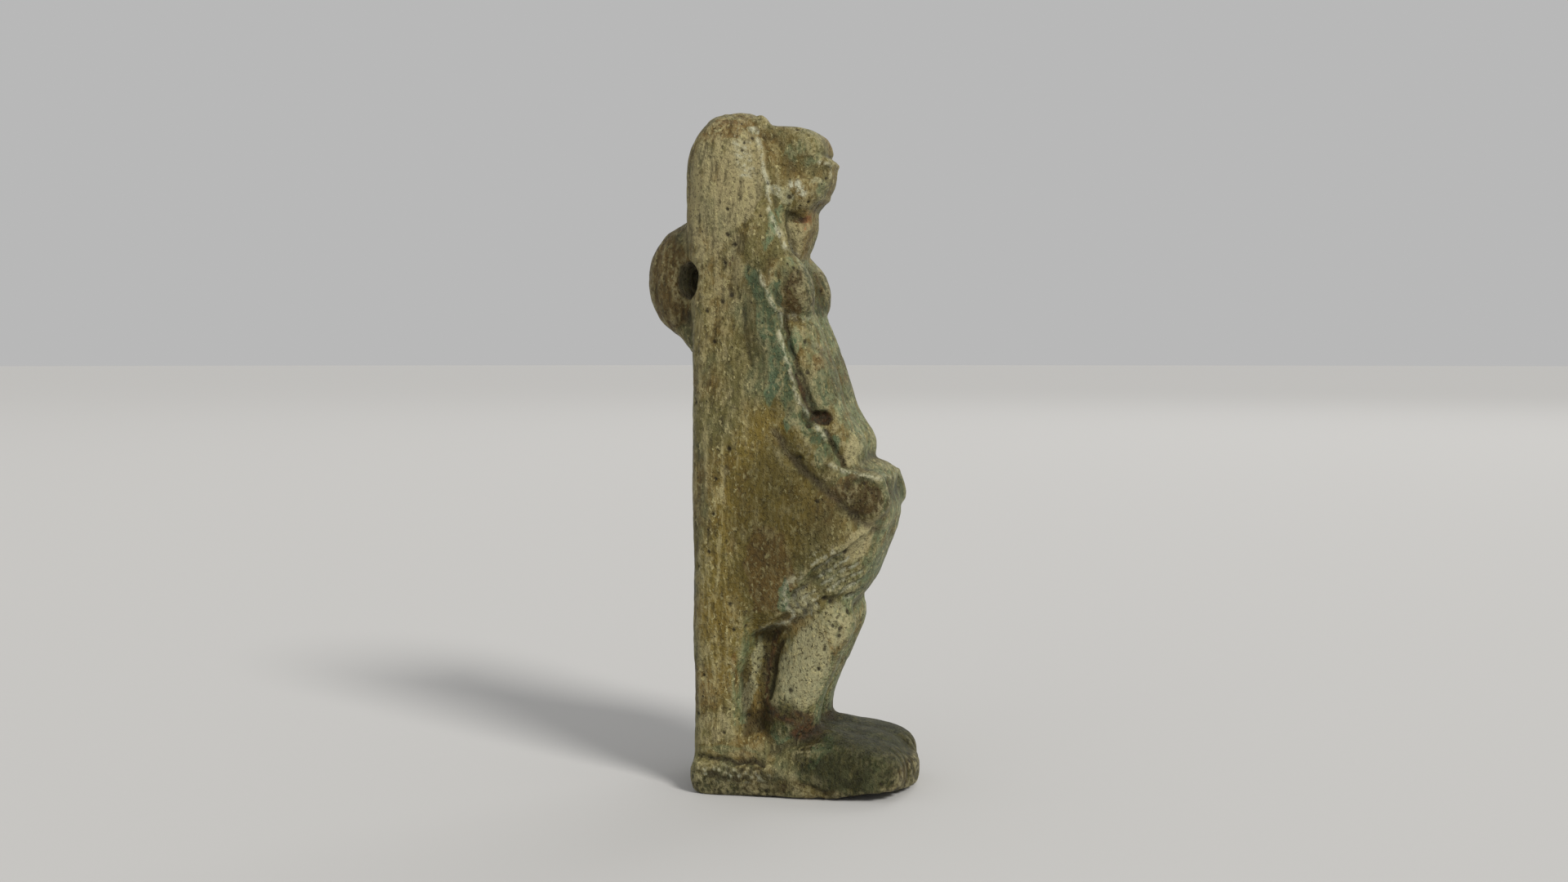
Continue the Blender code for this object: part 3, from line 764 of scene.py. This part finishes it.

# %% [markdown]
# ## Where painted shade darkens the glaze
#
# Seen from a step away, the foot, the hand, the lappet and the base's lower edge are much darker
# than the wig, whatever their colour. That darkening is painted shade, so these patches are kept
# apart from the colours above, and a later step darkens the glaze with them.

# %% Lay out the patches of painted shade
SHADE_PATCHES = [
    (-3.2, 39.5, 1.5, 4.6, 14, 0.42),
    (-0.1, 41.0, 1.5, 2.2, 0, 0.78),
    (2.2, 33.0, 1.6, 5.0, 24, 0.40),
    (-0.8, 22.5, 4.4, 7.0, 14, 0.58),
    (-3.2, 15.5, 2.8, 3.8, 0, 0.40),
    (5.4, 23.4, 2.4, 2.0, 0, 0.80),
    (3.2, 17.0, 3.0, 2.4, 50, 0.22),
    (-2.8, 7.5, 1.3, 3.8, 0, 0.45),
    (-1.6, 3.6, 2.6, 1.7, 0, 1.0),
    (4.6, 0.6, 5.2, 3.6, 0, 0.98),
    (8.8, 0.4, 2.2, 3.0, 0, 0.95),
    (-5.0, -1.9, 5.5, 1.5, 0, 0.85),
    (-12.4, 41.6, 2.2, 4.4, 0, 0.45),
]
print("shade patches", len(SHADE_PATCHES))

# %% [markdown]
# ## Gathering the patches
#
# Where ovals overlap, the strongest one wins. Noise makes their outlines wander first, because a
# clean oval would look painted on. Most masks count only where the skin faces sideways. The front
# gets some teal. The wall of the loop's hole, which gets painted light, is found by its distance
# from the middle of the hole, since no oval in the side view can pick it out.

# %% Gather the patches
WANDER = 0.5
HOLE_AT = (-10.25, 42.15)
HOLE_REACH = 1.9
LOOP_HALF_THICKNESS = 3.6
FRONT_TEAL = 0.50

seen = points[:, 1:3]
sideways = facing_side(points, normals)
wandering = seen + WANDER * wobble(points, 1.3, 24.0, 28.0)


def gather(patches):
    """The strongest of several soft ovals at each point, with wandering outlines."""
    found = np.zeros(len(seen))
    for *oval, strength in patches:
        found = np.maximum(found, strength * blob(wandering, *oval))
    return found


turned_away = 0.35 + 0.65 * sideways
front_face = np.clip(normals[:, 1] * 1.3, 0, 1) * (points[:, 2] < 44) * (points[:, 2] > 3)
in_hole = np.linalg.norm(seen - HOLE_AT, axis=1) < HOLE_REACH
in_hole &= np.abs(points[:, 0]) < LOOP_HALF_THICKNESS
masks = {
    "pale_wear": gather(PALE_PATCHES) * turned_away,
    "white_wear": gather(WHITE_PATCHES) * sideways,
    "teal_glaze": np.maximum(gather(TEAL_PATCHES) * sideways, FRONT_TEAL * front_face),
    "brown_glaze": gather(BROWN_PATCHES) * turned_away,
    "dark_foot": gather(FOOT_PATCHES),
    "flank": gather(FLANK_PATCHES) * sideways,
    # painted light: the wall of the loop's hole is marked here to be painted pale, as if lit
    "lit_hole_wall": in_hole * np.clip(1.6 - 2.0 * np.abs(normals[:, 0]), 0, 1),
}
print({name: round(values.mean(), 3) for name, values in masks.items()})

# %% [markdown]
# ## Soil and deposits
#
# Red-brown soil has stayed in the mouth, in the pit by the arm and its tail, in the recess behind
# the leg and in one stretch from there round the ankle. The corner of the mouth holds an orange
# crust, and the cheek a few bare white spots. They are small ovals and narrow lines.

# %% Lay out the soil and the deposits
RED_SPOTS = [
    (0.0, 47.4, 1.2, 0.35, 0, 1.0),
    (-6.0, 43.6, 0.16, 0.5, 0, 0.8),
    (-2.6, 4.2, 1.4, 0.8, 0, 0.5),
    (0.4, 4.2, 1.3, 0.5, 15, 0.6),
    (0.6, 2.9, 1.6, 0.9, -30, 0.8),
]
ANKLE_SOIL = [(-3.0, 4.9), (-1.8, 3.9), (-0.6, 3.7), (0.9, 2.7), (1.9, 2.2)]
RECESS_SOIL = [(-2.3, 11.3), (-2.6, 9.9), (-3.1, 7.9), (-3.2, 5.0)]
RED_LINES = [(PIT_TAIL, 0.24, 0.8), (ANKLE_SOIL, 0.45, 0.7), (RECESS_SOIL, 0.34, 0.8)]
MOUTH_DEPOSIT = [(0.0, 47.15, 0.95, 0.30, -80, 1.0)]
PALE_SPOTS = [
    (-2.2, 49.9, 0.55, 0.35, 20, 1.0),
    (-0.5, 50.0, 0.85, 0.55, 50, 1.0),
    (1.5, 52.3, 0.5, 0.25, 0, 0.8),
    (-4.2, 55.1, 0.30, 0.25, 0, 0.9),
]
print("soil spots", len(RED_SPOTS), "soil lines", len(RED_LINES))

# %% [markdown]
# ## Colours that follow the lines
#
# Raised edges are rubbed almost white. The deepest lines are nearly black: soil in the cracks and
# painted shade in the carved lines. The valley under the forearm is smooth and grey. Teal runs behind
# the arm's ridge and down the front of the breast, where glaze gathered as it melted, and painted
# shade lies behind the ridge too. Reusing the carved lines keeps colour and relief together.

# %% Lay out the coloured lines
# line, half width, strength
WHITE_LINES = [
    (WIG_EDGE, 0.17, 0.9),
    (WIG_BAND, 0.16, 0.6),
    (LAPPET_FOOT, 0.22, 0.4),
    (ARM_RIDGE, 0.17, 0.8),
    (BREAST_EDGE, 0.26, 0.3),
    (HAND_TOP, 0.18, 0.6),
    (SKIRT_CORNER, 0.24, 0.7),
    (SKIRT_EDGE[3:], 0.30, 0.5),
    (ANKLE_EDGE, 0.18, 0.9),
    (SNOUT_EDGE, 0.16, 0.7),
]
DARK_LINES = [
    (ARM_BACK_CRACK, 0.08, 0.3),
    (ARM_GAP, 0.14, 0.6),
    (LOWER_CRACK, 0.13, 0.9),
    (HAND_FRONT, 0.18, 0.6),
    (HEM[:3], 0.14, 0.7),
    (LEG_BACK, 0.14, 0.9),
    (BASE_LEDGE, 0.14, 0.8),
    ([(-6.6, 43.9), (-6.5, 42.9)], 0.14, 0.5),
]
SMOOTH_LINES = [(FOREARM_VALLEY, 0.38, 1.0)]
BREAST_FRONT = [
    (1.4, 38.4), (2.3, 37.1), (3.5, 34.7), (4.1, 32.6), (5.1, 30.1), (6.4, 27.7), (7.6, 25.9),
]
BEHIND_ARM_RIDGE = [(forward - 0.75, up) for forward, up in ARM_RIDGE]
TEAL_LINES = [(BEHIND_ARM_RIDGE, 0.80, 0.85), (BREAST_FRONT, 0.60, 0.9)]
# painted shade behind the arm's ridge
SHADE_LINES = [(BEHIND_ARM_RIDGE, 1.0, 0.70)]
print("white lines", len(WHITE_LINES), "dark lines", len(DARK_LINES))

# %% [markdown]
# ## Storing the masks
#
# Each finish becomes one number per point, from 0 to 1, stored on the mesh as an attribute that the
# material reads by name. Attributes need no picture file, and with a point about every 0.22 mm they
# are fine enough for everything but flecks.


# %% Store the masks
def draw(drawn):
    """The strongest of several strokes at each point."""
    found = np.zeros(len(seen))
    for line, half_width, strength in drawn:
        found = np.maximum(found, strength * stroke(seen + shake, line, half_width))
    return found


masks["red_stain"] = np.maximum.reduce([gather(RED_SPOTS), draw(RED_LINES), pit]) * sideways
masks["orange_deposit"] = gather(MOUTH_DEPOSIT) * sideways
masks["teal_glaze"] = np.maximum(masks["teal_glaze"], draw(TEAL_LINES) * sideways)
# painted shade over large regions, multiplied into the glaze later
masks["region_shade"] = np.maximum(gather(SHADE_PATCHES), draw(SHADE_LINES))
pale_marks = [draw(WHITE_LINES), scratches * 0.8, gather(PALE_SPOTS)]
masks["white_line"] = np.maximum.reduce(pale_marks) * sideways
# dark lines, the base's groove and the toe notches: partly soil, partly painted shade in carved lines
masks["dark_line"] = np.maximum.reduce([draw(DARK_LINES) * sideways, groove, 0.7 * toe_marks])
masks["smooth_line"] = draw(SMOOTH_LINES) * sideways
masks["folds"] = thigh * sideways * (0.5 + 0.5 * folds)
masks |= {"granular": granular, "cells": cells, "hair": hair, "rough": rough}
masks |= {"pinholes": pinholes, "hollow_shade": hollow_shade, "raised": raised}
for name, values in masks.items():
    stored = skin_mesh.attributes.new(name, "FLOAT", "POINT")
    stored.data.foreach_set("value", np.clip(values, 0, 1).astype(np.float32))
print("masks", list(masks))

# %% [markdown]
# ## Nodes as short sentences
#
# A worn glaze needs many small nodes, and helpers make each of them one readable call. The first
# ones link a socket or set a number, calculate, and read a mask from the points. A weathered glaze
# reflects little, which the shader's specular level says.

# %% Start the glaze
GLAZE_REFLECTION = 0.22

glaze = bpy.data.materials.new("worn_faience_glaze")
glaze.use_nodes = True
nodes = glaze.node_tree.nodes
links = glaze.node_tree.links
shader = nodes["Principled BSDF"]
shader.inputs["Specular IOR Level"].default_value = GLAZE_REFLECTION
coordinates = nodes.new("ShaderNodeTexCoord").outputs["Object"]


def link_or_set(socket, value):
    """Links the socket if the value comes from a node, and otherwise sets it."""
    if isinstance(value, bpy.types.NodeSocket):
        links.new(value, socket)
    else:
        socket.default_value = value


def calculate(operation, *values, clamp=False):
    """A Math node: its inputs are sockets or plain numbers."""
    node = nodes.new("ShaderNodeMath")
    node.operation = operation
    node.use_clamp = clamp
    for socket, value in zip(node.inputs, values):
        link_or_set(socket, value)
    return node.outputs[0]


def times(*values):
    """The product of sockets and numbers."""
    result = values[0]
    for value in values[1:]:
        result = calculate("MULTIPLY", result, value)
    return result


def mask(name):
    """The stored mask of that name."""
    node = nodes.new("ShaderNodeAttribute")
    node.attribute_name = name
    return node.outputs["Fac"]


print("glaze started from", [node.name for node in nodes])

# %% [markdown]
# ## Clouds, dots and thresholds
#
# Glaze varies at every size, from slow drifts of several millimetres to flecks of a quarter of one.
# A cloud is noise with lumps of a given size, dots are round pinholes, and steps turn either into a
# mask with soft ends. Object coordinates in millimetres place them, so nothing stretches.


# %% Make the clouds and dots
def steps(value, low_end, high_end):
    """0 below the low end, 1 above the high end, and a smooth rise between."""
    node = nodes.new("ShaderNodeMapRange")
    node.interpolation_type = "SMOOTHSTEP"
    node.inputs["From Min"].default_value = low_end
    node.inputs["From Max"].default_value = high_end
    links.new(value, node.inputs["Value"])
    return node.outputs["Result"]


def in_millimetres(size, seed, stretch):
    """Coordinates in which one unit is the given size, shifted by a seed."""
    node = nodes.new("ShaderNodeMapping")
    node.inputs["Scale"].default_value = [1 / (size * MILLIMETRE * s) for s in stretch]
    node.inputs["Location"].default_value = (seed, seed * 1.7, seed * 0.6)
    links.new(coordinates, node.inputs["Vector"])
    return node.outputs["Vector"]


def cloud(size, detail=3.0, seed=0.0, stretch=(1.0, 1.0, 1.0)):
    """Noise from 0 to 1 with lumps of about the size given in millimetres."""
    node = nodes.new("ShaderNodeTexNoise")
    node.inputs["Scale"].default_value = 1.0
    node.inputs["Detail"].default_value = detail
    node.inputs["Roughness"].default_value = 0.6
    links.new(in_millimetres(size, seed, stretch), node.inputs["Vector"])
    return node.outputs["Fac"]


def dots(spacing, radius, seed=0.0):
    """Round dots, one in each cell: 1 in a dot's middle, 0 outside. Sizes are in millimetres."""
    node = nodes.new("ShaderNodeTexVoronoi")
    node.inputs["Scale"].default_value = 1.0
    links.new(in_millimetres(spacing, seed, (1.0, 1.0, 1.0)), node.inputs["Vector"])
    share = radius / spacing
    return steps(calculate("SUBTRACT", 1.0, node.outputs["Distance"]), 1 - share, 1 - share * 0.4)


print("clouds are placed by the output", coordinates.name)

# %% [markdown]
# ## Layers of colour
#
# Like a painter's, these colours go on one thin layer over another, each where a mask says. They
# are given as a screen shows them, since that is how they are read off a photograph, and turned
# into light values. A cloud can break up a mask, so that its edge looks worn and not brushed.


# %% Make the layers
def layer(below, above, factor, blend="MIX"):
    """A colour mix: the upper colour covers the lower one where the factor is 1."""
    node = nodes.new("ShaderNodeMix")
    node.data_type = "RGBA"
    node.blend_type = blend
    for socket, value in zip([s for s in node.inputs if s.enabled], (factor, below, above)):
        link_or_set(socket, value)
    return [s for s in node.outputs if s.enabled][0]


def paint(red, green, blue):
    """A colour from the 0 to 255 values that a screen shows."""
    linear = [((c / 255 + 0.055) / 1.055) ** 2.4 for c in (red, green, blue)]
    return (*linear, 1.0)


def broken(covered, by, softness=0.22):
    """A mask whose soft edge is broken up by a cloud."""
    uneven = calculate("ADD", covered, times(calculate("SUBTRACT", by, 0.5), 1.2))
    return times(steps(uneven, 0.5 - softness, 0.5 + softness), steps(covered, 0.0, 0.25))


print("mid grey in light values", [round(value, 3) for value in paint(128, 128, 128)[:3]])

# %% [markdown]
# ## The ground of the glaze
#
# Under everything lies an olive glaze that drifts towards golden brown and grey green. The clouds
# that mix it are slow ones, several millimetres across, with wide soft thresholds, because copper
# and iron wander through a glaze gradually. The finer clouds are made here too, for later steps.

# %% Mix the ground
OLIVE = paint(104, 97, 54)
GOLDEN_BROWN = paint(112, 92, 46)
GREY_GREEN = paint(96, 102, 72)

slow_cloud = cloud(4.5, seed=2.0)
green_cloud = cloud(2.8, seed=4.0, stretch=(1.0, 1.0, 1.6))
mid_cloud = cloud(1.2, detail=4.0, seed=5.0)
fine_cloud = cloud(0.4, detail=5.0, seed=9.0, stretch=(1.0, 1.0, 1.3))
streak_cloud = cloud(0.5, detail=5.0, seed=13.0, stretch=(1.0, 1.0, 4.5))
blotch_cloud = cloud(0.75, detail=4.0, seed=17.0, stretch=(1.0, 1.0, 2.2))
fleck_cloud = cloud(0.34, detail=3.0, seed=40.0, stretch=(1.0, 1.0, 1.5))
dark_fleck_cloud = cloud(0.30, detail=3.0, seed=47.0)

colour = layer(OLIVE, GOLDEN_BROWN, steps(slow_cloud, 0.36, 0.66))
colour = layer(colour, GREY_GREEN, times(steps(green_cloud, 0.42, 0.70), 0.8))
print("ground mixed from", len(nodes), "nodes")

# %% [markdown]
# ## Patches over the ground
#
# The patches go on from the most even to the most worn: flank, hand, foot, teal, pale, white. Most
# masks are broken up by a cloud first, and each lets some of what lies under it show through. The
# forearm's valley stays even, and the wall of the hole gets an even painted light, a pale grey as
# if lit. Streaks and flecks come after the patches, so that they cross them.

# %% Lay the patches
FLANK_GOLD = paint(124, 106, 42)
HAND_BROWN = paint(112, 86, 42)
FOOT_SLATE = paint(96, 102, 68)
COPPER_TEAL = paint(98, 122, 92)
RUBBED_BEIGE = paint(172, 161, 120)
CORE_WHITE = paint(160, 157, 122)
VALLEY_GREY = paint(112, 100, 76)
WALL_LIGHT_GREY = paint(176, 168, 146)

colour = layer(colour, FLANK_GOLD, times(mask("flank"), 0.75))
colour = layer(colour, HAND_BROWN, times(broken(mask("brown_glaze"), mid_cloud), 0.75))
colour = layer(colour, FOOT_SLATE, times(broken(mask("dark_foot"), mid_cloud), 0.80))
colour = layer(colour, COPPER_TEAL, times(broken(mask("teal_glaze"), blotch_cloud), 0.80))
colour = layer(colour, RUBBED_BEIGE, times(broken(mask("pale_wear"), blotch_cloud), 0.70))
colour = layer(colour, CORE_WHITE, times(broken(mask("white_wear"), fine_cloud), 0.75))
colour = layer(colour, VALLEY_GREY, times(mask("smooth_line"), 0.60))
# painted light on the wall of the loop's hole
colour = layer(colour, WALL_LIGHT_GREY, times(mask("lit_hole_wall"), 0.80))
print("patches laid, nodes", len(nodes))

# %% [markdown]
# ## Streaks and flecks
#
# The paste was pressed and wiped along its length, which left short upright streaks, pale and dark,
# strongest on the hair. A stretched cloud gives them: its lumps are four or five times as tall as
# they are wide. Over the streaks lie flecks a quarter of a millimetre across, the quartz grains
# themselves, light where the glaze has gone and dark where it has not.

# %% Draw the streaks and flecks
BEIGE = paint(164, 153, 108)
FLECK_BEIGE = paint(184, 174, 124)
SHADOW_OLIVE = paint(58, 50, 27)

streakiness = calculate("ADD", times(mask("hair"), 0.45), 0.35)
dark_streak = steps(calculate("SUBTRACT", 1.0, streak_cloud), 0.50, 0.70)
smooth_share = calculate("SUBTRACT", 1.0, times(mask("dark_foot"), 0.75), clamp=True)
light_fleck = times(steps(fleck_cloud, 0.54, 0.65), smooth_share)
dark_fleck = steps(dark_fleck_cloud, 0.55, 0.67)
colour = layer(colour, BEIGE, times(streakiness, steps(streak_cloud, 0.49, 0.70)))
colour = layer(colour, BEIGE, times(steps(blotch_cloud, 0.50, 0.72), 0.55))
colour = layer(colour, SHADOW_OLIVE, times(streakiness, dark_streak, 0.9))
colour = layer(colour, SHADOW_OLIVE, times(steps(fine_cloud, 0.52, 0.70), 0.45))
fleckiness = calculate("ADD", times(steps(mid_cloud, 0.40, 0.62), 0.5), 0.25)
colour = layer(colour, FLECK_BEIGE, times(light_fleck, fleckiness))
dark_fleckiness = calculate("ADD", times(mask("rough"), 0.45), 0.35)
colour = layer(colour, SHADOW_OLIVE, times(dark_fleck, dark_fleckiness))
print("flecks drawn, nodes", len(nodes))

# %% [markdown]
# ## Painted shade
#
# Painted shade makes foot, hand, lappet and base less than half as bright as the wig. This layer
# multiplies instead of covering, so the streaks stay visible through it.

# %% Darken with painted shade
SHADE_TINT = (0.20, 0.195, 0.105, 1.0)

drift = calculate("ADD", times(steps(mid_cloud, 0.35, 0.65), 0.3), 0.8)
shade_amount = calculate("MULTIPLY", mask("region_shade"), drift, clamp=True)
# painted shade: multiplies the glaze darker over the foot, hand, lappet and base
colour = layer(colour, SHADE_TINT, shade_amount, blend="MULTIPLY")
print("glaze shaded, nodes", len(nodes))

# %% [markdown]
# ## Pale edges, folds and grains
#
# Small things make the scale believable. Edges are rubbed down to bare quartz and the crests of
# folds are pale. The grains of the coarse band get a painted highlight, and the seams between those
# grains painted shade. A fine cloud interrupts the edges and folds, because wear is never even.

# %% Pick out the edges and grains
BARE_QUARTZ = paint(178, 168, 124)
EDGE_WHITE = paint(196, 196, 170)
CREVICE = paint(42, 36, 22)

raised_skin = steps(mask("raised"), 0.20, 0.80)
rubbed_edge = times(raised_skin, steps(fine_cloud, 0.40, 0.62), smooth_share)
colour = layer(colour, BARE_QUARTZ, times(rubbed_edge, 0.50))
fold_crests = times(mask("folds"), steps(mask("folds"), 0.35, 0.9), steps(fine_cloud, 0.35, 0.60))
colour = layer(colour, EDGE_WHITE, times(fold_crests, 0.55))
# painted highlight on the tops of the grains
grain_highlight = times(mask("granular"), calculate("SUBTRACT", 1.0, steps(mask("cells"), 0.12, 0.50)))
colour = layer(colour, EDGE_WHITE, times(grain_highlight, 0.45))
# painted shade in the seams between the grains
seam_shade = times(mask("granular"), steps(mask("cells"), 0.40, 0.75))
colour = layer(colour, CREVICE, times(seam_shade, 0.60))
colour = layer(colour, EDGE_WHITE, times(mask("white_line"), steps(fine_cloud, 0.36, 0.62), 0.80))
print("edges picked out, nodes", len(nodes))

# %% [markdown]
# ## Soil, painted shade, dark lines and pinholes
#
# The dark marks go on last, over everything: red-brown soil, the orange crust in the mouth, then
# painted shade in the hollows, the pinholes and the dark lines, which are soil in the cracks and
# painted shade in the carved lines. Light flecks show through the soil, which makes it look
# granular. Pinholes too small for the mesh are dots, gathered in loose groups by a cloud.

# %% Lay the soil and the dark marks
SOIL_RED = paint(94, 60, 36)
SOIL_DARK = paint(46, 35, 22)
DEPOSIT_ORANGE = paint(152, 106, 62)

soil = layer(SOIL_RED, SOIL_DARK, steps(fine_cloud, 0.36, 0.60))
soil_cover = calculate("SUBTRACT", 0.85, times(light_fleck, 0.45))
colour = layer(colour, soil, times(broken(mask("red_stain"), fine_cloud, 0.35), soil_cover))
colour = layer(colour, DEPOSIT_ORANGE, times(mask("orange_deposit"), steps(fine_cloud, 0.36, 0.60)))
# painted shade: hollows are darkened by how far they lie under the smoothed skin
colour = layer(colour, CREVICE, times(steps(mask("hollow_shade"), 0.15, 1.0), 0.60))
tiny_pinholes = times(dots(0.85, 0.11, 12.0), steps(cloud(2.2, seed=20.0), 0.48, 0.62))
colour = layer(colour, CREVICE, times(tiny_pinholes, 0.70))
# the dark lines: soil in the cracks and painted shade in the carved lines
colour = layer(colour, CREVICE, times(mask("dark_line"), steps(fine_cloud, 0.30, 0.56), 0.75))
colour = layer(colour, CREVICE, times(steps(mask("pinholes"), 0.40, 0.72), 0.80))
links.new(colour, shader.inputs["Base Color"])
print("nodes", len(nodes))

# %% [markdown]
# ## The sheen
#
# A worn glaze is still a little glossier where it is thick and dark than where it is rubbed to the
# core, so roughness rises with wear. A fine cloud varies it a little more, which breaks up the
# highlights as tiny pits do.

# %% Set the roughness
GLAZED_ROUGHNESS, ADDED_BY_WEAR, ADDED_BY_PITS = 0.40, 0.20, 0.18

worn = calculate("MAXIMUM", mask("pale_wear"), mask("rough"), clamp=True)
roughness = calculate("ADD", times(worn, ADDED_BY_WEAR), GLAZED_ROUGHNESS)
roughness = calculate("ADD", roughness, times(fine_cloud, ADDED_BY_PITS), clamp=True)
links.new(roughness, shader.inputs["Roughness"])
print("roughness set, nodes", len(nodes))

# %% [markdown]
# ## The finest relief
#
# Grit, the upright scratches on the hair and the tiny pinholes are finer than the mesh, so they are
# a bump: light is bent as if the surface rose and fell. It only suits relief this fine, because a
# bump never shows at the outline.

# %% Add the bump and put the glaze on
BUMP_DISTANCE = 0.22

grit = cloud(0.15, detail=4.0, seed=30.0)
height = calculate("ADD", times(fine_cloud, 1.3), times(grit, 0.5))
height = calculate("ADD", height, times(streak_cloud, streakiness, 1.3))
height = calculate("ADD", height, times(light_fleck, 0.25))
height = calculate("SUBTRACT", height, times(dark_fleck, 0.35))
height = calculate("SUBTRACT", height, times(tiny_pinholes, 0.9))
bump = nodes.new("ShaderNodeBump")
bump.inputs["Strength"].default_value = 1.0
bump.inputs["Distance"].default_value = BUMP_DISTANCE * MILLIMETRE
links.new(height, bump.inputs["Height"])
links.new(bump.outputs["Normal"], shader.inputs["Normal"])

skin_mesh.materials.clear()
skin_mesh.materials.append(glaze)
skin_mesh.polygons.foreach_set("material_index", np.zeros(len(skin_mesh.polygons), np.int32))
skin_mesh.polygons.foreach_set("use_smooth", np.ones(len(skin_mesh.polygons), bool))
skin_mesh.update()
print("glaze on", skin.name)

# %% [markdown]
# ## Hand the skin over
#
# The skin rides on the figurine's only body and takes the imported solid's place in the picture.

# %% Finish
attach(skin, "root")
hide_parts("figurine")
